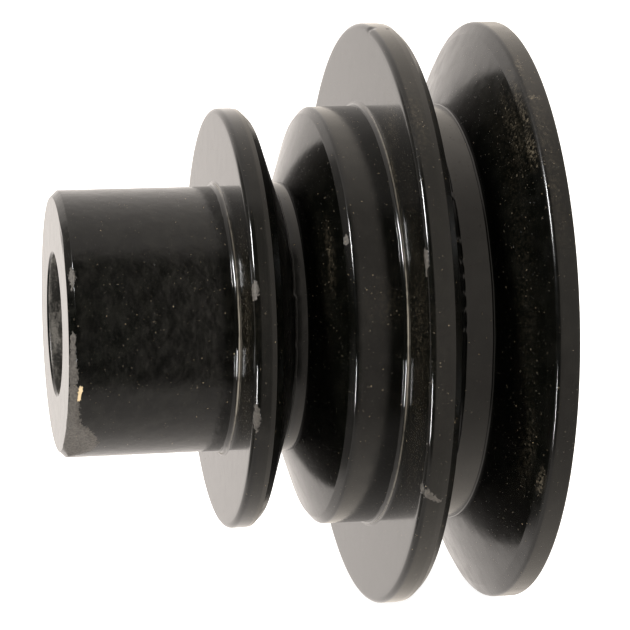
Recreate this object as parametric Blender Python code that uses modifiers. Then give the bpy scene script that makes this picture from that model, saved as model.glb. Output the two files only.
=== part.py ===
"""Stepped two-groove V-belt pulley with a long hub, built as a stack of rings on one bored hub.

The bore axis is world X. The hub's front end face lies at X = 0 and the belt grooves lie towards +X.
Every ring slides on to the hub's seat from the back, up to the shoulder behind the plain part of the hub.
"""

import math

import bmesh
import bpy

MM = 0.001

# Hub: a turned steel bar, bored through.
BORE_R = 12.7 * MM
BORE_CHAMFER = 0.4 * MM
HUB_R = 24.1 * MM
HUB_CHAMFER = 1.15 * MM
SEAT_R = 21.0 * MM
HUB_LENGTH = 84.0 * MM
HUB_BACK_CHAMFER = 0.6 * MM

# Clearance that stands for each pressed or brazed joint between neighbouring pieces.
JOINT = 0.3 * MM

# Small sheave: a flange, a spacer ring as the groove's floor, and the stepped drum as the inner cheek.
SMALL_FACE_X = 29.6 * MM
SMALL_RIM_R = 38.2 * MM
SMALL_RIM_END_X = 33.5 * MM
SMALL_LIP_X = 34.9 * MM
SMALL_LIP_R = 36.7 * MM
SMALL_FLOOR_R = 24.6 * MM
SMALL_FLOOR_START_X = 39.2 * MM
SMALL_FLOOR_END_X = 41.7 * MM
DRUM_LIP_X = 46.1 * MM
DRUM_LIP_R = 36.9 * MM
DRUM_START_X = 47.2 * MM
DRUM_R = 38.2 * MM

# Large sheave: a front flange, a spacer ring as the groove's floor, and a back flange.
LARGE_FACE_X = 56.2 * MM
LARGE_RIM_R = 53.2 * MM
LARGE_RIM_END_X = 60.6 * MM
LARGE_LIP_X = 61.9 * MM
LARGE_LIP_R = 51.9 * MM
LARGE_FLOOR_R = 38.2 * MM
LARGE_FLOOR_START_X = 66.4 * MM
LARGE_FLOOR_END_X = 71.6 * MM
BACK_LIP_X = 77.1 * MM
BACK_LIP_R = 51.6 * MM
BACK_RIM_START_X = 78.0 * MM
BACK_FACE_X = 82.0 * MM

# Rounded outer corners of the flanges, and the fillets that close the joints.
EDGE_ROUND = 0.9 * MM
BACK_EDGE = 0.3 * MM
FILLET = 1.2 * MM
GROOVE_FILLET = 0.9 * MM

# Two hexagon-socket set screws in the plain part of the hub, a quarter turn apart.
SCREW_X = 14.0 * MM
SCREW_R = 3.97 * MM
SCREW_CLEARANCE = 0.3 * MM
SCREW_TIP = 13.0 * MM
SCREW_LENGTH = 9.5 * MM
SCREW_EDGE = 0.7 * MM
SOCKET_ACROSS_FLATS = 3.97 * MM
SOCKET_DEPTH = 4.2 * MM
SCREW_ANGLES = {"set_screw_upper": math.radians(45.0), "set_screw_lower": math.radians(-45.0)}

STEPS = 72
SCREW_STEPS = 32

BLACK_PAINT = ((0.012, 0.012, 0.011, 1.0), 0.22, 0.0)
BRAZE_PAINT = ((0.018, 0.017, 0.015, 1.0), 0.30, 0.0)
BLACK_OXIDE = ((0.030, 0.029, 0.030, 1.0), 0.45, 0.9)


def clear_scene():
    for obj in list(bpy.data.objects):
        bpy.data.objects.remove(obj, do_unlink=True)


def new_collection(name):
    collection = bpy.data.collections.new(name)
    bpy.context.scene.collection.children.link(collection)
    return collection


def new_material(name, finish):
    colour, roughness, metallic = finish
    material = bpy.data.materials.new(name)
    material.use_nodes = True
    shader = material.node_tree.nodes["Principled BSDF"]
    shader.inputs["Base Color"].default_value = colour
    shader.inputs["Roughness"].default_value = roughness
    shader.inputs["Metallic"].default_value = metallic
    material.diffuse_color = colour
    return material


def corner_round(x, r, radius, steps=3):
    """Points along a quarter round from a face at x out to a rim of radius r."""
    points = []
    for i in range(steps + 1):
        angle = 0.5 * math.pi * i / steps
        points.append((x + radius * (1.0 - math.cos(angle)), r - radius * (1.0 - math.sin(angle))))
    return points


def profile_mesh(name, outline, closed):
    """Edges of a turned profile in the local XZ plane, from (distance along the axis, radius) pairs.

    The outline runs over the outer side from front to back, so it is reversed here to run top to bottom.
    """
    bm = bmesh.new()
    verts = [bm.verts.new((r, 0.0, x)) for x, r in reversed(outline)]
    for first, second in zip(verts, verts[1:]):
        bm.edges.new((first, second))
    if closed:
        bm.edges.new((verts[-1], verts[0]))
    mesh = bpy.data.meshes.new(name)
    bm.to_mesh(mesh)
    bm.free()
    return mesh


def turned(name, outline, finish, collection, closed=True, steps=STEPS):
    """A ring or a pin turned about its local Z axis, which is then laid along world X."""
    obj = bpy.data.objects.new(name, profile_mesh(name, outline, closed))
    obj.rotation_euler = (0.0, math.radians(90.0), 0.0)
    collection.objects.link(obj)
    screw = obj.modifiers.new("Turn", "SCREW")
    screw.axis = "Z"
    screw.angle = math.radians(360.0)
    screw.steps = steps
    screw.render_steps = steps
    screw.use_merge_vertices = True
    screw.merge_threshold = 0.00001
    screw.use_smooth_shade = True
    obj.data.materials.append(new_material(name, finish))
    return obj


def hide_cutter(obj):
    obj.hide_render = True
    obj.display_type = "WIRE"


def add_cut(target, cutter):
    cut = target.modifiers.new("Cut " + cutter.name, "BOOLEAN")
    cut.operation = "DIFFERENCE"
    cut.solver = "EXACT"
    cut.object = cutter


def radial_cylinder(name, radius, length, distance, angle, vertices, collection):
    """A cylinder centred the given distance from the bore axis, pointing out at the given angle."""
    bm = bmesh.new()
    bmesh.ops.create_cone(
        bm, cap_ends=True, segments=vertices, radius1=radius, radius2=radius, depth=length
    )
    mesh = bpy.data.meshes.new(name)
    bm.to_mesh(mesh)
    bm.free()
    obj = bpy.data.objects.new(name, mesh)
    place_radially(obj, distance, angle)
    collection.objects.link(obj)
    return obj


def place_radially(obj, distance, angle):
    """Put an object's origin on a screw axis and its local Z along that axis, away from the bore."""
    obj.location = (SCREW_X, distance * math.cos(angle), distance * math.sin(angle))
    obj.rotation_euler = (angle - math.radians(90.0), 0.0, 0.0)


def build_hub(parts, cutters):
    shoulder_x = SMALL_FACE_X - JOINT
    outline = [
        (BORE_CHAMFER, BORE_R),
        (0.0, BORE_R + BORE_CHAMFER),
        (0.0, HUB_R - HUB_CHAMFER),
        (HUB_CHAMFER, HUB_R),
        (shoulder_x, HUB_R),
        (shoulder_x, SEAT_R),
        (HUB_LENGTH - HUB_BACK_CHAMFER, SEAT_R),
        (HUB_LENGTH, SEAT_R - HUB_BACK_CHAMFER),
        (HUB_LENGTH, BORE_R + BORE_CHAMFER),
        (HUB_LENGTH - BORE_CHAMFER, BORE_R),
    ]
    hub = turned("hub", outline, BLACK_PAINT, parts)
    for name, angle in SCREW_ANGLES.items():
        hole_r = SCREW_R + SCREW_CLEARANCE
        cutter = radial_cylinder("cut_" + name, hole_r, 20.0 * MM, 18.0 * MM, angle, SCREW_STEPS, cutters)
        hide_cutter(cutter)
        add_cut(hub, cutter)


def build_small_sheave(parts):
    seat = SEAT_R + JOINT
    flange = [(SMALL_FACE_X, seat)]
    flange += corner_round(SMALL_FACE_X, SMALL_RIM_R, EDGE_ROUND)
    flange += [
        (SMALL_RIM_END_X, SMALL_RIM_R),
        (SMALL_LIP_X, SMALL_LIP_R),
        (SMALL_FLOOR_START_X, SMALL_FLOOR_R),
        (SMALL_FLOOR_START_X, seat),
    ]
    turned("small_flange", flange, BLACK_PAINT, parts)
    start = SMALL_FLOOR_START_X + JOINT
    end = SMALL_FLOOR_END_X - JOINT
    ring = [(start, seat), (start, SMALL_FLOOR_R), (end, SMALL_FLOOR_R), (end, seat)]
    turned("small_groove_ring", ring, BLACK_PAINT, parts)


def build_drum(parts):
    seat = SEAT_R + JOINT
    end = LARGE_FACE_X - JOINT
    outline = [
        (SMALL_FLOOR_END_X, seat),
        (SMALL_FLOOR_END_X, SMALL_FLOOR_R),
        (DRUM_LIP_X, DRUM_LIP_R),
        (DRUM_START_X, DRUM_R),
        (end, DRUM_R),
        (end, seat),
    ]
    turned("step_drum", outline, BLACK_PAINT, parts)


def build_large_sheave(parts):
    seat = SEAT_R + JOINT
    front = [(LARGE_FACE_X, seat)]
    front += corner_round(LARGE_FACE_X, LARGE_RIM_R, EDGE_ROUND)
    front += [
        (LARGE_RIM_END_X, LARGE_RIM_R),
        (LARGE_LIP_X, LARGE_LIP_R),
        (LARGE_FLOOR_START_X, LARGE_FLOOR_R),
        (LARGE_FLOOR_START_X, seat),
    ]
    turned("large_front_flange", front, BLACK_PAINT, parts)
    start = LARGE_FLOOR_START_X + JOINT
    end = LARGE_FLOOR_END_X - JOINT
    ring = [(start, seat), (start, LARGE_FLOOR_R), (end, LARGE_FLOOR_R), (end, seat)]
    turned("large_groove_ring", ring, BLACK_PAINT, parts)
    back = [
        (LARGE_FLOOR_END_X, seat),
        (LARGE_FLOOR_END_X, LARGE_FLOOR_R),
        (BACK_LIP_X, BACK_LIP_R),
        (BACK_RIM_START_X, LARGE_RIM_R),
        (BACK_FACE_X - BACK_EDGE, LARGE_RIM_R),
        (BACK_FACE_X, LARGE_RIM_R - BACK_EDGE),
        (BACK_FACE_X, seat),
    ]
    turned("large_back_flange", back, BLACK_PAINT, parts)


def front_fillet(name, face_x, inner_r, leg, parts):
    """A ring of braze in the corner between a cylinder and the flange face behind it."""
    x = face_x - JOINT
    r = inner_r + JOINT
    outline = [(x - leg, r), (x, r + leg), (x, r)]
    turned(name, outline, BRAZE_PAINT, parts)


def build_fillets(parts):
    front_fillet("hub_braze_fillet", SMALL_FACE_X, HUB_R, FILLET, parts)
    front_fillet("drum_braze_fillet", LARGE_FACE_X, DRUM_R, FILLET, parts)
    front_fillet("groove_braze_fillet", LARGE_FLOOR_END_X, LARGE_FLOOR_R, GROOVE_FILLET, parts)
    x = BACK_FACE_X + JOINT
    r = SEAT_R + JOINT
    outline = [(x, r), (x, r + FILLET), (x + FILLET, r)]
    turned("back_braze_fillet", outline, BRAZE_PAINT, parts)


def build_set_screws(parts, cutters):
    """Each screw is turned about its own axis, with a chamfered tip towards the shaft and a socket."""
    for name, angle in SCREW_ANGLES.items():
        outline = [
            (0.0, 0.0),
            (0.0, SCREW_R - 2.0 * SCREW_EDGE),
            (2.0 * SCREW_EDGE, SCREW_R),
            (SCREW_LENGTH - SCREW_EDGE, SCREW_R),
            (SCREW_LENGTH, SCREW_R - SCREW_EDGE),
            (SCREW_LENGTH, 0.0),
        ]
        screw = turned(name, outline, BLACK_OXIDE, parts, closed=False, steps=SCREW_STEPS)
        place_radially(screw, SCREW_TIP, angle)
        radius = 0.5 * SOCKET_ACROSS_FLATS / math.cos(math.radians(30.0))
        distance = SCREW_TIP + SCREW_LENGTH
        socket = radial_cylinder(
            "socket_" + name, radius, 2.0 * SOCKET_DEPTH, distance, angle, 6, cutters
        )
        hide_cutter(socket)
        add_cut(screw, socket)


def finish_surfaces(parts):
    """Turn each piece's modifiers into its mesh, then shade it smooth with sharp turned corners."""
    bpy.context.view_layer.update()
    graph = bpy.context.evaluated_depsgraph_get()
    made = {obj: bpy.data.meshes.new_from_object(obj.evaluated_get(graph)) for obj in parts.objects}
    for obj, mesh in made.items():
        obj.modifiers.clear()
        obj.data = mesh
        mesh.name = obj.name
        mesh.shade_smooth()
        mesh.set_sharp_from_angle(angle=math.radians(20.0))


def main():
    clear_scene()
    parts = new_collection("v_belt_pulley")
    cutters = new_collection("cutters")
    build_hub(parts, cutters)
    build_small_sheave(parts)
    build_drum(parts)
    build_large_sheave(parts)
    build_fillets(parts)
    build_set_screws(parts, cutters)
    finish_surfaces(parts)


main()
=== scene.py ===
"""Stepped V-belt pulley: detailed turned pieces, gloss black paint, studio light and camera."""
import math
import bmesh
import bpy
from mathutils import Matrix, Vector, noise

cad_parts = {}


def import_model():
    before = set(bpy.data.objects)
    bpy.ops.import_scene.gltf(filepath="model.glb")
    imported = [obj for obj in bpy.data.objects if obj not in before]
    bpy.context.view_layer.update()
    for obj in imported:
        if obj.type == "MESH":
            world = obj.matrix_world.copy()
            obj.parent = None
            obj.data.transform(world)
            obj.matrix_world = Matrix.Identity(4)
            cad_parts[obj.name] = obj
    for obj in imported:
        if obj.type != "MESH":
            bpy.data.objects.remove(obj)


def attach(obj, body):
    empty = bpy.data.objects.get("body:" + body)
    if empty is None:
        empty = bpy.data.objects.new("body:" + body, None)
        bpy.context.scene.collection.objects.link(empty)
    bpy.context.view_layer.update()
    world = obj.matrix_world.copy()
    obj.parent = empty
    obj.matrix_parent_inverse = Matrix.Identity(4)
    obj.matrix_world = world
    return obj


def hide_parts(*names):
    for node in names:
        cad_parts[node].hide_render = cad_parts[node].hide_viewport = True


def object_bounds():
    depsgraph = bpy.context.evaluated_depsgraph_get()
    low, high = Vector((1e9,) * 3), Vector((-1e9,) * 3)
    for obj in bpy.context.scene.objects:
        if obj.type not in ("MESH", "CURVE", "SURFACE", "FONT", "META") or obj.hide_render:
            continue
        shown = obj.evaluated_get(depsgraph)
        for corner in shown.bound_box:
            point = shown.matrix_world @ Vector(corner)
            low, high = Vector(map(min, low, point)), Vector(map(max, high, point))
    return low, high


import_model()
cad_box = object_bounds()

MM = 0.001

# Driving dimensions, in mm. x runs along the shaft from the hub's front end, r is the distance from its axis.
BORE_R = 12.7
SEAT_R = 21.0           # the hub behind its shoulder, under the rings
HUB_R = 24.1
SMALL_FLOOR_R = 24.6
SMALL_RIM_R = 38.2
DRUM_R = 38.2
LARGE_FLOOR_R = 38.2
LARGE_RIM_R = 53.2
SMALL_FACE_X = 29.6     # front face of the small groove's flange
SMALL_FLOOR_X = 39.2    # foot of the small groove's front wall
SMALL_FOOT_X = 41.7     # foot of its back wall
LARGE_FACE_X = 56.2     # front face of the large groove's flange
LARGE_FLOOR_X = 65.6    # foot of the large groove's front wall
LARGE_FOOT_X = 71.6     # foot of its back wall
BACK_FACE_X = 82.0
TAIL_X = 84.0           # the hub's back end

SCREW_X = 14.0
HOLE_R = 4.27
HOLE_DEPTH = 14.0
HOLE_MIDDLE_R = 19.0
SHARP_ANGLE = 35        # degrees, where the shading breaks at a drilled hole's edge

# The flat where the hub's end was dropped: its turn in degrees, its rise along x, its distance from the axis.
FLAT_TURN, FLAT_SLOPE, FLAT_R = -52.0, 0.26, 22.95

# Paint in the groove corners: angles of the bridges between its beads, and kinks of its line as (angle, half
# width, push in mm), with angles in degrees.
BRIDGES = (28.0, 22.3, 18.5, 14.1, 9.9, 4.7, -32.0, 41.0)
KINKS = [(19.0, 1.2, -0.25), (16.8, 0.8, 0.15), (-1.8, 1.0, -0.16), (34.0, 2.5, 0.15), (-22.0, 2.0, 0.12)]

# Wear as (x, r, theta, half length along the outline, half length round the ring, strength), in mm and
# degrees. theta is 0 on the near side (-Y) and grows towards the top.
CHIPS = {
    "hub_tube": [
        (0.95, 23.85, 29.4, 0.95, 2.2, 1.1), (0.8, 23.7, 24.4, 0.3, 0.5, 1.0),
        (0.7, 23.65, 3.5, 0.9, 1.4, 1.0), (0.6, 23.5, -0.5, 0.9, 2.2, 1.0),
        (0.6, 23.5, -7.0, 1.1, 3.0, 1.1), (0.7, 23.6, -13.5, 1.25, 3.4, 1.1),
        (0.75, 23.65, -20.5, 1.35, 3.6, 1.1), (0.8, 23.7, -28.0, 1.5, 3.8, 1.15),
        (0.9, 23.75, -35.0, 1.8, 3.6, 1.2), (1.1, 23.9, -40.5, 2.3, 3.4, 1.2)],
    "small_front_flange": [
        (30.0, 37.85, 16.6, 1.0, 2.1, 1.2), (30.06, 37.76, 1.2, 0.3, 0.7, 1.0),
        (30.25, 38.0, -17.2, 0.9, 3.2, 1.2), (30.1, 37.9, -13.6, 0.6, 1.0, 1.0),
        (31.5, 38.2, -3.4, 0.5, 0.3, 1.0)],
    "plain_drum": [
        (46.5, 37.45, 29.4, 0.8, 1.1, 1.4)],
    "large_flange_front": [
        (56.45, 52.4, 19.4, 0.85, 2.7, 1.2), (56.3, 52.2, 17.0, 0.5, 1.2, 1.0),
        (56.68, 52.77, 0.3, 0.4, 1.6, 0.9), (56.68, 52.77, -2.8, 0.45, 1.4, 0.9),
        (56.49, 52.6, -14.9, 0.35, 0.6, 1.0), (56.4, 52.5, -24.6, 0.6, 1.5, 1.1),
        (57.1, 53.1, -25.1, 0.7, 1.3, 1.1), (57.8, 53.2, -25.8, 0.7, 1.1, 1.1),
        (58.5, 53.2, -26.5, 0.7, 0.9, 1.1), (59.3, 53.2, -27.1, 0.7, 0.6, 1.0),
        (59.5, 53.2, 81.6, 0.5, 0.7, 0.9)],
}
PRIMER = {
    "hub_tube": [
        (1.95, 24.1, -18.8, 0.5, 1.2, 1.2), (1.75, 24.1, -21.9, 0.45, 1.6, 1.15)],
}
DUST = {
    "plain_drum": [
        (44.5, 32.7, 28.0, 1.8, 9.0, 0.5), (43.5, 29.8, 10.0, 3.0, 25.0, 0.06),
        (52.0, 38.2, 12.0, 4.0, 6.0, 0.2)],
    "large_flange_front": [
        (56.2, 39.6, 45.0, 1.2, 30.0, 0.6), (56.2, 40.5, 15.0, 2.4, 16.0, 0.2),
        (58.0, 53.2, 48.0, 2.0, 12.0, 0.3), (56.2, 45.0, 58.0, 7.0, 9.0, 0.5),
        (56.2, 46.0, 0.0, 8.5, 42.0, 0.3)],
    "small_front_flange": [
        (29.6, 31.5, 12.0, 7.5, 20.0, 0.4), (29.6, 31.5, -20.0, 7.5, 14.0, 0.3)],
    "large_flange_back": [
        (77.1, 51.6, 41.0, 1.6, 5.0, 1.1), (77.3, 51.9, 52.0, 1.2, 14.0, 0.8),
        (79.6, 53.2, 52.3, 1.7, 1.0, 2.0), (78.9, 53.2, 62.0, 0.8, 4.0, 1.5),
        (76.0, 49.0, 50.0, 2.6, 14.0, 0.4), (77.3, 51.9, -25.0, 1.2, 4.0, 1.0),
        (75.5, 48.0, -22.0, 2.4, 12.0, 0.35), (75.0, 46.0, 15.0, 4.0, 70.0, 0.1),
        (79.5, 53.2, 45.0, 2.0, 30.0, 0.3)],
}
# Lines along the fillets, laid out like the wear above: partly flux, partly painted reflection where the
# fillet mirrors the light.
FLUX_AND_REFLECTION_LINES = {
    "hub_fillet": [
        (29.5, 24.9, -12.0, 1.5, 26.0, 1.6), (29.5, 24.9, 45.0, 1.5, 14.0, 0.5),
        (29.5, 24.9, -86.0, 1.5, 9.0, 1.5), (29.5, 24.9, 84.0, 1.5, 8.0, 0.9)],
    "drum_fillet": [
        (56.1, 38.9, 4.0, 1.5, 24.0, 1.3), (56.1, 38.9, 60.0, 1.5, 30.0, 0.7),
        (56.1, 38.9, -50.0, 1.5, 30.0, 0.8)],
}

BLACK = (0.0018, 0.0019, 0.0013, 1)
DEEP_BLACK = (0.0010, 0.0011, 0.0007, 1)
DUST_COLOUR = (0.17, 0.14, 0.095, 1)
PRIMER_COLOUR = (0.62, 0.47, 0.27, 1)
# Brownish colour of the lines along the fillets: partly flux, partly a painted reflection of the light in the
# fillet.
FLUX_AND_REFLECTION_COLOUR = (0.17, 0.15, 0.12, 1)
METAL_DARK, METAL_LIGHT = (0.046, 0.041, 0.035, 1), (0.105, 0.094, 0.081, 1)
BORE_DARK, BORE_LIGHT = (0.014, 0.013, 0.011, 1), (0.16, 0.148, 0.13, 1)
STEEL_DARK, STEEL_LIGHT = (0.02, 0.019, 0.02, 1), (0.12, 0.11, 0.10, 1)
DUST_EVERYWHERE = 0.012

# The camera, in metres and degrees, as if level: the pitch then turns it and the lights up together.
CAMERA_PITCH = 9.9
CAMERA_YAW = 11.615
CAMERA_ROLL = -2.011
CAMERA_PLACE = (-0.047322, -0.463284, 0)
SENSOR_WIDTH = 36.0
LENS = 147.0743
TILT = Matrix.Rotation(math.radians(-CAMERA_PITCH), 3, "X")
STUDIO_CENTRE = Vector((0.045, 0, 0))
DARK_HALF_ANGLE, OPEN_HALF_ANGLE = 48, 68


# ---------------------------------------------------------------- outlines, in mm, as (x, r)
def corner_arc(here, before, after, radius, steps):
    """Arc that rounds the corner here, from the ways to the corner before it and the one after."""
    half = before.angle(after) / 2
    reach = min(radius / math.tan(half), before.length * 0.49, after.length * 0.49)
    before, after = before.normalized(), after.normalized()
    start, end = here + before * reach, here + after * reach
    centre = here + (before + after).normalized() * (reach / math.cos(half))
    arc = []
    for k in range(steps + 1):
        way = (start - centre).lerp(end - centre, k / steps).normalized()
        arc.append(centre + way * (start - centre).length)
    return arc


def rounded(corners, steps=6):
    """Closed outline from corners (x, r, radius, spacing): each corner gets an arc of its radius, and the
    straight after it is cut into pieces no longer than its spacing."""
    count = len(corners)
    runs = []
    for i, (x, r, radius, _) in enumerate(corners):
        here = Vector((x, r))
        before = Vector(corners[i - 1][:2]) - here
        after = Vector(corners[(i + 1) % count][:2]) - here
        runs.append(corner_arc(here, before, after, radius, steps) if radius > 0 else [here])
    points = []
    for i, run in enumerate(runs):
        points += run
        end, start = run[-1], runs[(i + 1) % count][0]
        cuts = max(1, math.ceil((start - end).length / corners[i][3]))
        points += [end.lerp(start, k / cuts) for k in range(1, cuts)]
    return [(p.x, p.y) for p in points]


def fillet_outline(corner_x, corner_r, leg, steps=10):
    """Concave fillet in the corner between a cylinder of radius corner_r and the flange face at corner_x."""
    arc = [(corner_x - leg + leg * math.sin(k / steps * math.pi / 2),
            corner_r + leg - leg * math.cos(k / steps * math.pi / 2)) for k in range(steps + 1)]
    return arc + [(corner_x + 0.05, corner_r + leg), (corner_x + 0.05, corner_r - 0.05),
                  (corner_x - leg, corner_r - 0.05)]


def bead_outline(centre_x, floor_r, half, height, steps=10):
    """Low round bead lying on a floor."""
    turns = [math.pi * k / steps for k in range(steps + 1)]
    arc = [(centre_x - half * math.cos(turn), floor_r - 0.02 + height * math.sin(turn)) for turn in turns]
    return arc + [(centre_x + half, floor_r - 0.1), (centre_x - half, floor_r - 0.1)]


HUB = rounded([
    (0.0, 13.1, 0.15, 0.5), (0.0, 22.95, 0.12, 0.13), (1.2, HUB_R, 0.3, 0.25), (8.0, HUB_R, 0, 1.0),
    (SMALL_FACE_X, HUB_R, 0, 1.0), (SMALL_FACE_X, SEAT_R, 0, 8.0), (83.4, SEAT_R, 0.2, 1.0),
    (TAIL_X, 20.4, 0.1, 2.0), (TAIL_X, 13.1, 0.1, 1.0), (83.6, BORE_R, 0.2, 2.5), (0.4, BORE_R, 0.35, 0.5)])
SMALL_FLANGE = rounded([
    (SMALL_FACE_X, SEAT_R, 0, 1.0), (SMALL_FACE_X, SMALL_RIM_R, 0.95, 0.4), (32.7, SMALL_RIM_R, 0.1, 0.5),
    (33.5, 38.1, 0.15, 0.5), (34.9, 36.7, 0.4, 0.9), (SMALL_FLOOR_X, SMALL_FLOOR_R, 0, 1.5),
    (SMALL_FLOOR_X, SEAT_R, 0, 2.0)])
SMALL_RING = rounded([
    (38.9, SEAT_R, 0, 2.0), (38.9, SMALL_FLOOR_R, 0, 0.08), (40.6, SMALL_FLOOR_R, 0, 0.4),
    (41.8, SMALL_FLOOR_R, 0, 2.0), (41.8, SEAT_R, 0, 2.0)])
DRUM = rounded([
    (SMALL_FOOT_X, SEAT_R, 0, 2.0), (SMALL_FOOT_X, SMALL_FLOOR_R, 0, 0.8), (46.1, 36.9, 0.6, 0.3),
    (47.2, DRUM_R, 0.75, 0.8), (LARGE_FACE_X, DRUM_R, 0, 2.0), (LARGE_FACE_X, SEAT_R, 0, 3.0)])
FRONT_FLANGE = rounded([
    (LARGE_FACE_X, SEAT_R, 0, 1.0), (LARGE_FACE_X, LARGE_RIM_R, 0.95, 0.3), (59.6, LARGE_RIM_R, 0.1, 0.5),
    (60.6, 53.1, 0.15, 0.5), (61.9, 51.9, 0.4, 0.9), (LARGE_FLOOR_X, LARGE_FLOOR_R, 0, 2.0),
    (LARGE_FLOOR_X, SEAT_R, 0, 3.0)])
LARGE_RING = rounded([
    (65.3, SEAT_R, 0, 2.0), (65.3, LARGE_FLOOR_R, 0, 0.08), (67.2, LARGE_FLOOR_R, 0, 0.5),
    (71.7, LARGE_FLOOR_R, 0, 2.0), (71.7, SEAT_R, 0, 3.0)])
BACK_FLANGE = rounded([
    (LARGE_FOOT_X, SEAT_R, 0, 3.0), (LARGE_FOOT_X, LARGE_FLOOR_R, 0, 0.8), (76.8, 51.0, 0.6, 0.3),
    (78.05, LARGE_RIM_R, 0.9, 0.6), (BACK_FACE_X, LARGE_RIM_R, 0.3, 1.5), (BACK_FACE_X, SEAT_R, 0, 3.0)])
HUB_FILLET = fillet_outline(SMALL_FACE_X, HUB_R, 1.0)
DRUM_FILLET = fillet_outline(LARGE_FACE_X, DRUM_R, 0.9)
BEAD = bead_outline(71.35, LARGE_FLOOR_R, 0.3, 0.13)
BACK_FILLET = [(2 * BACK_FACE_X - x, r) for x, r in fillet_outline(BACK_FACE_X, SEAT_R, 1.0)]


# ---------------------------------------------------------------- shapes that wear and paint give the rings
def turn_from(theta, middle):
    """Angle from middle, in degrees, to theta, in radians: the short way round, in radians."""
    return (theta - math.radians(middle) + math.pi) % (2 * math.pi) - math.pi


def wobble(theta, seed, size):
    """Smooth random shift round a ring, in mm."""
    at = Vector((math.cos(theta) * 6, math.sin(theta) * 6, seed))
    return size * (noise.noise(at) + 0.5 * noise.noise(at * 2.7))


def above_flat(x, r, theta):
    """How far a point of the hub's end stands above the dropped flat, in mm."""
    return r * math.cos(turn_from(theta, FLAT_TURN)) - x * FLAT_SLOPE - FLAT_R


def dropped_edge(x, r, theta):
    """Hub end dropped on its lower edge: a flat across the chamfer, shallow nicks and a notch above."""
    if r < SEAT_R or x > 9:
        return x, r
    turn = turn_from(theta, FLAT_TURN)
    above = above_flat(x, r, theta)
    if above > 0:
        drop = above / (1 + FLAT_SLOPE ** 2)
        rough = 0.025 * noise.noise(Vector((x * 1.7, theta * 40, 3.0)))
        return x + drop * FLAT_SLOPE, math.hypot(r * math.cos(turn) - drop + rough, r * math.sin(turn))
    if abs(turn_from(theta, -8.0)) < 0.75:
        edge = max(0.0, 1 - abs(x - 0.9))
        r -= edge * 0.12 * max(0.0, noise.noise(Vector((theta * 14, 1.7, 0.4))))
    notch = math.exp(-(math.degrees(turn_from(theta, 50.0)) / 7.0) ** 2) * max(0.0, 1 - abs(r - 22.6) / 0.7)
    return x + (0.25 * notch if x < 0.4 else 0), r


def groove_corner(wall_x, floor_r, line, dip, ridge, sag, reach):
    """Paint lying in the corner of a groove: a dip by the wall up to line(theta), a thin ridge there and a
    floor that comes up to its full height over the reach after it."""
    def shape(x, r, theta):
        if r < floor_r - 0.01 or x > wall_x + 4:
            return x, r
        back = x - wall_x - line(theta)
        r += ridge * math.exp(-(back / 0.12) ** 2)
        if back < 0:
            return x, r - sag - dip * min(1.0, -back / 0.9)
        return x, r - sag * max(0.0, 1 - back / reach) ** 2
    return shape


def kinked_line(theta):
    """Wavy paint line of the small groove, in mm from the wall."""
    turn = math.degrees(turn_from(theta, 0.0))
    kinks = sum(push * math.exp(-((turn - at) / reach) ** 2) for at, reach, push in KINKS)
    return 0.2 + wobble(theta, 5.0, 0.12) + kinks


def scalloped_line(theta):
    """Beads of paint in the large groove, parted by thin bridges, in mm from the wall."""
    turn = math.degrees(turn_from(theta, 0.0))
    gap = max(math.exp(-((turn - at) / 0.55) ** 2) for at in BRIDGES)
    return 0.06 + (0.82 + wobble(theta, 9.0, 0.08)) * (1 - gap)


def burr(x, r, theta):
    """Nick knocked into the top of the large front flange's rim."""
    if r < 50:
        return x, r
    turn = math.degrees(turn_from(theta, 0.0))
    nick = math.exp(-((turn - 83) / 0.9) ** 2) * max(0.0, 1 - abs(x - 56.8) / 0.9)
    return x, r - 0.35 * nick


def uneven(corner_x, seed, size):
    """Hand-laid braze: the fillet's edge wanders round the ring."""
    def shape(x, r, theta):
        shift = wobble(theta, seed, size) * (1 if x < corner_x else 0)
        return x + shift, r + shift * 0.3
    return shape


# ---------------------------------------------------------------- materials
def principled(name):
    """New material with its node tree and shader."""
    material = bpy.data.materials.new(name)
    material.use_nodes = True
    return material, material.node_tree, material.node_tree.nodes["Principled BSDF"]


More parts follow.
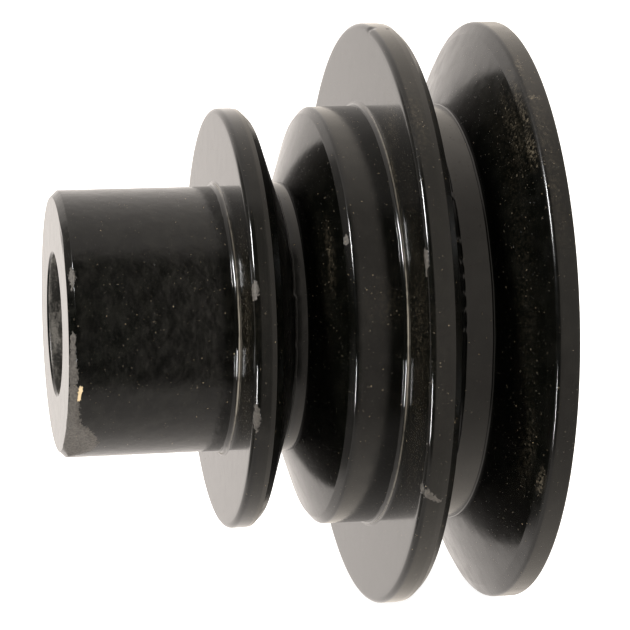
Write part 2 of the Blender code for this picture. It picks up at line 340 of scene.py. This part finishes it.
class Graph:
    """Short calls for a tree's nodes."""

    def __init__(self, tree):
        self.nodes, self.links = tree.nodes, tree.links

    def put(self, socket, value):
        if isinstance(value, bpy.types.NodeSocket):
            self.links.new(value, socket)
        else:
            socket.default_value = value

    def math(self, operation, *values):
        node = self.nodes.new("ShaderNodeMath")
        node.operation = operation
        for socket, value in zip(node.inputs, values):
            self.put(socket, value)
        return node.outputs[0]

    def add(self, a, b):
        return self.math("ADD", a, b)

    def subtract(self, a, b):
        return self.math("SUBTRACT", a, b)

    def multiply(self, a, b):
        return self.math("MULTIPLY", a, b)

    def ramp(self, value, low, high, start=0.0, end=1.0):
        node = self.nodes.new("ShaderNodeMapRange")
        node.interpolation_type = "SMOOTHSTEP"
        names = ("Value", "From Min", "From Max", "To Min", "To Max")
        for key, number in zip(names, (value, low, high, start, end)):
            self.put(node.inputs[key], number)
        return node.outputs["Result"]

    def noise(self, vector, scale, detail=2.0, rough=0.5):
        node = self.nodes.new("ShaderNodeTexNoise")
        self.put(node.inputs["Vector"], vector)
        self.put(node.inputs["Scale"], scale)
        self.put(node.inputs["Detail"], detail)
        self.put(node.inputs["Roughness"], rough)
        return node.outputs["Fac"]

    def cells(self, vector, scale):
        """Distance to the middle of the nearest cell, and three random numbers that belong to it."""
        node = self.nodes.new("ShaderNodeTexVoronoi")
        self.put(node.inputs["Vector"], vector)
        self.put(node.inputs["Scale"], scale)
        spread = self.nodes.new("ShaderNodeSeparateColor")
        self.put(spread.inputs[0], node.outputs["Color"])
        return node.outputs["Distance"], spread.outputs

    def mix(self, factor, a, b):
        node = self.nodes.new("ShaderNodeMix")
        node.data_type = "RGBA"
        for socket, value in zip((node.inputs[0], node.inputs[6], node.inputs[7]), (factor, a, b)):
            self.put(socket, value)
        return node.outputs[2]

    def blend(self, factor, a, b):
        node = self.nodes.new("ShaderNodeMix")
        for socket, value in zip((node.inputs[0], node.inputs[2], node.inputs[3]), (factor, a, b)):
            self.put(socket, value)
        return node.outputs[0]

    def field(self, name):
        node = self.nodes.new("ShaderNodeAttribute")
        node.attribute_name = name
        return node.outputs["Fac"]

    def split(self, vector):
        node = self.nodes.new("ShaderNodeSeparateXYZ")
        self.put(node.inputs[0], vector)
        return node.outputs

    def combine(self, x, y, z):
        node = self.nodes.new("ShaderNodeCombineXYZ")
        for socket, value in zip(node.inputs, (x, y, z)):
            self.put(socket, value)
        return node.outputs[0]

    def place(self):
        """Place in the object's own axes."""
        return self.nodes.new("ShaderNodeTexCoord").outputs["Object"]

    def radius(self, y, z):
        """Distance from the X axis."""
        return self.math("SQRT", self.add(self.multiply(y, y), self.multiply(z, z)))

    def angle(self, y, z):
        """Angle round the X axis, in radians, from the near side."""
        return self.math("ARCTAN2", z, self.multiply(y, -1.0))

    def bump(self, height, distance, normal=None):
        node = self.nodes.new("ShaderNodeBump")
        node.inputs["Strength"].default_value = 1.0
        node.inputs["Distance"].default_value = distance
        self.put(node.inputs["Height"], height)
        if normal is not None:
            self.put(node.inputs["Normal"], normal)
        return node.outputs["Normal"]


def worn_masks(g, place):
    """Chips down to the metal and flakes of primer, both with ragged edges."""
    ragged = g.multiply(g.subtract(g.noise(place, 1900, 5.0, 0.7), 0.5), 1.7)
    chip = g.ramp(g.add(g.field("chip"), ragged), 0.26, 0.34)
    flake = g.ramp(g.add(g.field("primer"), ragged), 0.30, 0.38)
    return chip, flake


def dust_mask(g, place, lathe):
    """Dust: single specks all over, and a patchy, streaky film where the dust field is set."""
    near, (chance, breadth, strength) = g.cells(place, 1900)
    amount = g.multiply(g.add(g.field("dust"), DUST_EVERYWHERE), 0.9)
    chosen = g.ramp(g.subtract(chance, amount), 0.02, -0.02)
    size = g.add(g.multiply(breadth, 0.22), 0.12)
    outline = g.add(near, g.multiply(g.subtract(g.noise(place, 5200, 2.0), 0.5), 0.5))
    speck = g.multiply(chosen, g.ramp(g.subtract(outline, size), 0.1, -0.05))
    speck = g.multiply(speck, g.add(g.multiply(strength, 0.6), 0.1))
    patches = g.multiply(g.field("dust"), g.ramp(g.noise(place, 1500, 5.0, 0.7), 0.42, 0.75))
    streaks = g.multiply(g.ramp(g.noise(lathe, 2600, 3.0, 0.6), 0.62, 0.8), g.multiply(g.field("dust"), 0.8))
    film = g.add(patches, streaks)
    return g.math("MINIMUM", g.add(g.multiply(speck, 0.8), g.multiply(film, 0.9)), 1.0)


def paint_colour(g, place, haze, dust, chip, flake, mottle):
    """Black with a faint cloudy haze, under dust, with grey metal in the chips and tan flakes of primer."""
    x, y, z = g.split(place)
    cloud = g.ramp(g.noise(g.combine(g.multiply(x, 1.4), y, z), 330, 3.0, 0.6), 0.4, 0.66)
    hazy = (0.0010 + haze, 0.0010 + haze, 0.0006 + haze * 0.8, 1)
    colour = g.mix(g.multiply(dust, 0.8), g.mix(cloud, DEEP_BLACK, hazy), DUST_COLOUR)
    colour = g.mix(chip, colour, g.mix(mottle, METAL_DARK, METAL_LIGHT))
    return g.mix(flake, colour, PRIMER_COLOUR)


def paint_normal(g, place, lathe, peel, grain, chip, flake, mottle):
    """Orange peel, turning marks under the paint and the step down into chips and flakes, in mm."""
    normal = g.bump(g.noise(place, 360, 2.5, 0.55), peel * MM)
    normal = g.bump(g.noise(place, 1300, 2.0), peel * 0.06 * MM, normal)
    if grain:
        normal = g.bump(g.noise(lathe, 3200, 2.0), grain * MM, normal)
    rough_floor = g.multiply(g.multiply(chip, mottle), -0.6)
    worn_in = g.subtract(g.multiply(g.add(chip, flake), -1.0), rough_floor)
    return g.bump(worn_in, 0.05 * MM, normal)


def paint(name, peel, roughness, specular=0.5, grain=0.0, haze=0.0016):
    """Gloss black paint with orange peel, turning marks, dust, chips to grey metal and flakes of primer."""
    material, tree, bsdf = principled(name)
    g = Graph(tree)
    place = g.place()
    x, y, z = g.split(place)
    lathe = g.combine(x, g.radius(y, z), g.multiply(g.angle(y, z), 0.0012))
    chip, flake = worn_masks(g, place)
    dust = dust_mask(g, place, lathe)
    mottle = g.ramp(g.noise(place, 2400, 4.0, 0.6), 0.3, 0.7)
    gloss = g.ramp(g.noise(place, 300, 3.0), 0.3, 0.7, roughness * 0.85, roughness * 1.2)
    worn = g.math("MAXIMUM", g.math("MAXIMUM", chip, flake), g.multiply(dust, 0.9))
    bsdf.inputs["Specular IOR Level"].default_value = specular
    g.put(bsdf.inputs["Base Color"], paint_colour(g, place, haze, dust, chip, flake, mottle))
    g.put(bsdf.inputs["Roughness"], g.blend(worn, gloss, 0.55))
    g.put(bsdf.inputs["Metallic"], g.multiply(chip, 0.2))
    g.put(bsdf.inputs["Normal"], paint_normal(g, place, lathe, peel, grain, chip, flake, mottle))
    return material


def bore_paint():
    """Thin dull paint in the bore, with the turning marks of the bare metal showing through."""
    material, tree, bsdf = principled("bore_paint")
    g = Graph(tree)
    place = g.place()
    x, y, z = g.split(place)
    angle = g.multiply(g.angle(y, z), 0.0015)
    rings = g.noise(g.combine(g.multiply(x, 0.4), angle, 0.0), 900, 5.0, 0.72)
    grit = g.multiply(g.subtract(g.noise(place, 2600, 3.0, 0.6), 0.5), 0.35)
    rings = g.add(rings, grit)
    g.put(bsdf.inputs["Base Color"], g.mix(g.ramp(rings, 0.4, 0.7), BORE_DARK, BORE_LIGHT))
    g.put(bsdf.inputs["Roughness"], g.ramp(g.noise(place, 500), 0.3, 0.7, 0.28, 0.45))
    g.put(bsdf.inputs["Normal"], g.bump(rings, 0.03 * MM))
    return material


def seam_paint(name, seam_r=0.0, half_width=0.01):
    """Gloss black over a fillet; a thin brownish line at seam_r, flux and painted reflection, where seam is
    set.
    """
    material, tree, bsdf = principled(name)
    g = Graph(tree)
    place = g.place()
    x, y, z = g.split(place)
    away = g.math("ABSOLUTE", g.subtract(g.math("DIVIDE", g.radius(y, z), MM), seam_r))
    line = g.multiply(g.ramp(away, half_width, half_width * 0.3), g.field("seam"))
    line = g.multiply(line, g.ramp(g.noise(place, 700, 3.0), 0.25, 0.6, 0.45, 1.0))
    # The line's colour is partly flux and partly a painted reflection of the light in the fillet.
    g.put(bsdf.inputs["Base Color"], g.mix(line, BLACK, FLUX_AND_REFLECTION_COLOUR))
    g.put(bsdf.inputs["Roughness"], g.ramp(line, 0.0, 1.0, 0.13, 0.5))
    g.put(bsdf.inputs["Normal"], g.bump(g.noise(place, 900, 2.0), 0.010 * MM))
    return material


def screw_steel():
    """Black oxide steel, worn a little lighter in patches."""
    material, tree, bsdf = principled("black_oxide_steel")
    g = Graph(tree)
    place = g.place()
    patches = g.noise(place, 900, 4.0, 0.6)
    g.put(bsdf.inputs["Base Color"], g.mix(g.ramp(patches, 0.5, 0.75), STEEL_DARK, STEEL_LIGHT))
    g.put(bsdf.inputs["Roughness"], g.ramp(patches, 0.3, 0.7, 0.32, 0.5))
    bsdf.inputs["Metallic"].default_value = 0.8
    g.put(bsdf.inputs["Normal"], g.bump(g.noise(place, 2500), 0.02 * MM))
    return material


hub_paint = paint("gloss_black_hub_paint", 0.075, 0.17, haze=0.0035)
flange_paint = paint("gloss_black_flange_paint", 0.006, 0.12, grain=0.0012)
drum_paint = paint("gloss_black_drum_paint", 0.018, 0.16)
back_paint = paint("gloss_black_back_flange_paint", 0.02, 0.21)
wall_paint = paint("dull_black_groove_paint", 0.01, 0.3, specular=0.12)
bore = bore_paint()
hub_seam = seam_paint("hub_seam_paint", HUB_R + 0.5, 0.26)
drum_seam = seam_paint("drum_seam_paint", DRUM_R + 0.45, 0.24)
bead_paint = seam_paint("bead_paint")


# ---------------------------------------------------------------- pieces
def turned(name, outline, segments, shape=None):
    """Closed ring turned about X. shape(x, r, theta) may move a point to a new (x, r)."""
    mesh = bpy.data.meshes.new(name)
    verts, faces = [], []
    count = len(outline)
    for s in range(segments):
        theta = 2 * math.pi * s / segments
        for x, r in outline:
            px, pr = (x, r) if shape is None else shape(x, r, theta)
            verts.append((px * MM, -pr * math.cos(theta) * MM, pr * math.sin(theta) * MM))
    for s in range(segments):
        t = (s + 1) % segments
        for i in range(count):
            j = (i + 1) % count
            faces.append((s * count + i, s * count + j, t * count + j, t * count + i))
    mesh.from_pydata(verts, [], faces)
    bm = bmesh.new()
    bm.from_mesh(mesh)
    bmesh.ops.recalc_face_normals(bm, faces=bm.faces)
    bm.to_mesh(mesh)
    bm.free()
    mesh.shade_smooth()
    piece = bpy.data.objects.new(name, mesh)
    bpy.context.scene.collection.objects.link(piece)
    return piece


def mark_field(piece, name, marks):
    """Per-vertex field, highest in a mark's middle and 0 at its edge. The hub's chips cover the flat."""
    field = piece.data.attributes.new(name, "FLOAT", "POINT")
    has_flat = piece.name == "hub_tube" and name == "chip"
    for i, vertex in enumerate(piece.data.vertices):
        x, y, z = (c / MM for c in vertex.co)
        theta, r, best = math.atan2(z, -y), math.hypot(y, z), 0.0
        for mark_x, mark_r, middle, along, arc, strength in marks:
            across = math.hypot(x - mark_x, r - mark_r) / along
            away = math.hypot(across, turn_from(theta, middle) * r / arc)
            best = max(best, strength * (1 - away))
        if has_flat and r > SEAT_R:
            best = max(best, 0.9 * (1 + min(0.0, above_flat(x, r, theta)) / 0.5))
        field.data[i].value = best


def paint_walls(piece):
    """Dull paint on groove walls that face the back, thin paint in the bore, the smoothest on flat faces."""
    for material in (wall_paint, bore, flange_paint):
        piece.data.materials.append(material)
    for face in piece.data.polygons:
        r = math.hypot(face.center.y, face.center.z) / MM
        in_front = face.center.x / MM < LARGE_FOOT_X
        if r < BORE_R + 0.2:
            face.material_index = 2
        elif abs(face.normal.x) > 0.99:
            face.material_index = 3
        elif 0.3 < face.normal.x < 0.99 and r > SMALL_FLOOR_R and in_front:
            face.material_index = 1


def drill_bit(side):
    """Cylinder where one set screw goes through the hub's wall: side 1 above the horizontal, -1 below it."""
    way = Vector((0, 1, side)).normalized()
    turn = way.to_track_quat("Z", "X").to_matrix().to_4x4()
    place = Matrix.Translation(Vector((SCREW_X * MM, 0, 0)) + way * HOLE_MIDDLE_R * MM) @ turn
    bm = bmesh.new()
    bmesh.ops.create_cone(bm, cap_ends=True, segments=64, radius1=HOLE_R * MM, radius2=HOLE_R * MM,
                          depth=HOLE_DEPTH * MM, matrix=place)
    mesh = bpy.data.meshes.new("drill")
    bm.to_mesh(mesh)
    bm.free()
    bit = bpy.data.objects.new("drill", mesh)
    bpy.context.scene.collection.objects.link(bit)
    return bit


def drill(piece):
    """Radial holes for the two set screws, through the hub's wall on the far side."""
    for side in (1, -1):
        bit = drill_bit(side)
        cut = piece.modifiers.new("hole", "BOOLEAN")
        cut.operation, cut.object = "DIFFERENCE", bit
        mesh = bpy.data.meshes.new_from_object(piece.evaluated_get(bpy.context.evaluated_depsgraph_get()))
        piece.modifiers.clear()
        piece.data = mesh
        bpy.data.objects.remove(bit)
    piece.data.shade_smooth()
    piece.data.set_sharp_from_angle(angle=math.radians(SHARP_ANGLE))


small_corner = groove_corner(SMALL_FLOOR_X, SMALL_FLOOR_R, kinked_line, 0.10, 0.07, 0.045, 1.4)
large_corner = groove_corner(LARGE_FLOOR_X, LARGE_FLOOR_R, scalloped_line, 0.26, 0.04, 0.0, 1.0)

# name, CAD node, outline, steps round, shape, paint, slot
ROWS = [
    ("hub_tube", "hub", HUB, 540, dropped_edge, hub_paint, "black_paint"),
    ("small_front_flange", "small_flange", SMALL_FLANGE, 480, None, flange_paint, "black_paint"),
    ("small_groove_floor", "small_groove_ring", SMALL_RING, 540, small_corner, drum_paint, "black_paint"),
    ("plain_drum", "step_drum", DRUM, 540, None, drum_paint, "black_paint"),
    ("large_flange_front", "large_front_flange", FRONT_FLANGE, 720, burr, flange_paint, "black_paint"),
    ("large_groove_floor", "large_groove_ring", LARGE_RING, 720, large_corner, drum_paint, "black_paint"),
    ("large_flange_back", "large_back_flange", BACK_FLANGE, 720, None, back_paint, "black_paint"),
    ("hub_fillet", "hub_braze_fillet", HUB_FILLET, 540, uneven(29.5, 2.0, 0.08), hub_seam, "braze_paint"),
    ("drum_fillet", "drum_braze_fillet", DRUM_FILLET, 720, uneven(56.1, 4.0, 0.07), drum_seam, "braze_paint"),
    ("groove_bead", "groove_braze_fillet", BEAD, 720, uneven(80.0, 6.0, 0.05), bead_paint, "braze_paint"),
    ("back_fillet", "back_braze_fillet", BACK_FILLET, 480, uneven(90, 7.0, 0.05), bead_paint, "braze_paint"),
]
MARKS = (("chip", CHIPS), ("primer", PRIMER), ("dust", DUST), ("seam", FLUX_AND_REFLECTION_LINES))

for name, node, outline, segments, shape, material, slot in ROWS:
    piece = turned(name, outline, segments, shape)
    piece.data.materials.append(material)
    if "flange" in name or name == "hub_tube":
        paint_walls(piece)
    if name == "hub_tube":
        drill(piece)
    for field, marks in MARKS:
        if name in marks:
            mark_field(piece, field, marks[name])
    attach(piece, "pulley")
    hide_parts(node)

steel = screw_steel()
for node in ("set_screw_upper", "set_screw_lower"):
    bpy.data.objects[node].data.materials.clear()
    bpy.data.objects[node].data.materials.append(steel)


# ---------------------------------------------------------------- studio
def rig(x, y, z):
    """Point or direction given as if the camera were level, turned with it about the pulley's axis."""
    return TILT @ Vector((x, y, z))


def world_light(g, x, y, z):
    """Strength and warmth of the studio in a direction: dark in front, bright behind, a lit bench at +x."""
    facing = g.math("DIVIDE", y, g.math("MAXIMUM", g.radius(y, z), 1e-4))
    rise = g.ramp(facing, -0.35, 0.95, 0.72, 1.23)
    dark_edge = -math.cos(math.radians(DARK_HALF_ANGLE))
    open_edge = -math.cos(math.radians(OPEN_HALF_ANGLE))
    open_side = g.ramp(facing, dark_edge, open_edge, 0.06, rise)
    open_side = g.multiply(open_side, g.ramp(x, -0.70, -0.58, 0.3, 1.0))
    bench = g.ramp(x, 0.15, 0.21, 0.0, 1.0)
    bench_light = g.multiply(bench, g.ramp(y, -0.6, 0.2, 0.66, 1.16))
    light = g.multiply(g.math("MAXIMUM", open_side, bench_light), g.ramp(z, -0.6, 0.1, 0.88, 1.0))
    warmth = g.mix(bench, (1.075, 1.0, 0.94, 1), (1.10, 1.0, 0.89, 1))
    return light, warmth


def world():
    """Studio that lights and mirrors in the pulley, and is plain white behind it."""
    studio = bpy.data.worlds.new("studio")
    bpy.context.scene.world = studio
    studio.use_nodes = True
    g = Graph(studio.node_tree)
    turn = g.nodes.new("ShaderNodeVectorRotate")
    turn.rotation_type = "X_AXIS"
    g.put(turn.inputs["Angle"], math.radians(CAMERA_PITCH))
    g.put(turn.inputs["Vector"], g.nodes.new("ShaderNodeTexCoord").outputs["Generated"])
    light, warmth = world_light(g, *g.split(turn.outputs["Vector"]))
    seen = g.nodes.new("ShaderNodeLightPath").outputs["Is Camera Ray"]
    back = g.nodes["Background"]
    g.put(back.inputs["Color"], g.mix(seen, warmth, (1, 1, 1, 1)))
    g.put(back.inputs["Strength"], g.blend(seen, light, 1.0))


def softbox(name, direction, distance, size, power):
    """Area light that looks at the middle of the pulley from a direction in the rig's axes."""
    light = bpy.data.lights.new(name, "AREA")
    light.shape = "RECTANGLE"
    light.size, light.size_y = size
    light.energy = power
    lamp = bpy.data.objects.new(name, light)
    bpy.context.scene.collection.objects.link(lamp)
    lamp.location = STUDIO_CENTRE + rig(*direction).normalized() * distance
    lamp.rotation_euler = (STUDIO_CENTRE - lamp.location).to_track_quat("-Z", "Y").to_euler()


def pale_floor(half_width, level):
    """Large pale floor under the pulley, left out of its reflections."""
    mesh = bpy.data.meshes.new("floor")
    corners = [(x * half_width, y * half_width, level) for x, y in ((-1, -1), (1, -1), (1, 1), (-1, 1))]
    mesh.from_pydata(corners, [], [(0, 1, 2, 3)])
    material, _, bsdf = principled("pale_floor")
    bsdf.inputs["Base Color"].default_value = (0.9, 0.9, 0.9, 1)
    bsdf.inputs["Roughness"].default_value = 1.0
    bsdf.inputs["Specular IOR Level"].default_value = 0.0
    bsdf.inputs["Emission Color"].default_value = (1, 1, 1, 1)
    bsdf.inputs["Emission Strength"].default_value = 0.98
    mesh.materials.append(material)
    floor = bpy.data.objects.new("floor", mesh)
    bpy.context.scene.collection.objects.link(floor)
    floor.visible_glossy = False


def camera():
    """Camera beside the pulley, a little past the hub's end and above it."""
    data = bpy.data.cameras.new("camera")
    data.sensor_width = SENSOR_WIDTH
    data.lens = LENS
    data.clip_start = 0.01
    eye = bpy.data.objects.new("camera", data)
    bpy.context.scene.collection.objects.link(eye)
    yaw, roll = math.radians(CAMERA_YAW), math.radians(CAMERA_ROLL)
    forward = rig(math.sin(yaw), math.cos(yaw), 0)
    side = rig(math.cos(yaw) * math.cos(roll), -math.sin(yaw) * math.cos(roll), math.sin(roll))
    eye.matrix_world = Matrix((side, side.cross(forward), -forward)).transposed().to_4x4()
    eye.matrix_world.translation = rig(*CAMERA_PLACE)
    bpy.context.scene.camera = eye


world()
softbox("softbox_upper", (-0.7, -0.49, 0.52), 1.5, (0.10, 0.55), 26)
softbox("softbox_lower", (-0.7, -0.49, -0.52), 1.5, (0.10, 0.5), 19)
pale_floor(6.0, cad_box[0][2] - 0.0002)
camera()
bpy.context.scene.view_settings.view_transform = "Standard"
bpy.context.scene.view_settings.look = "None"
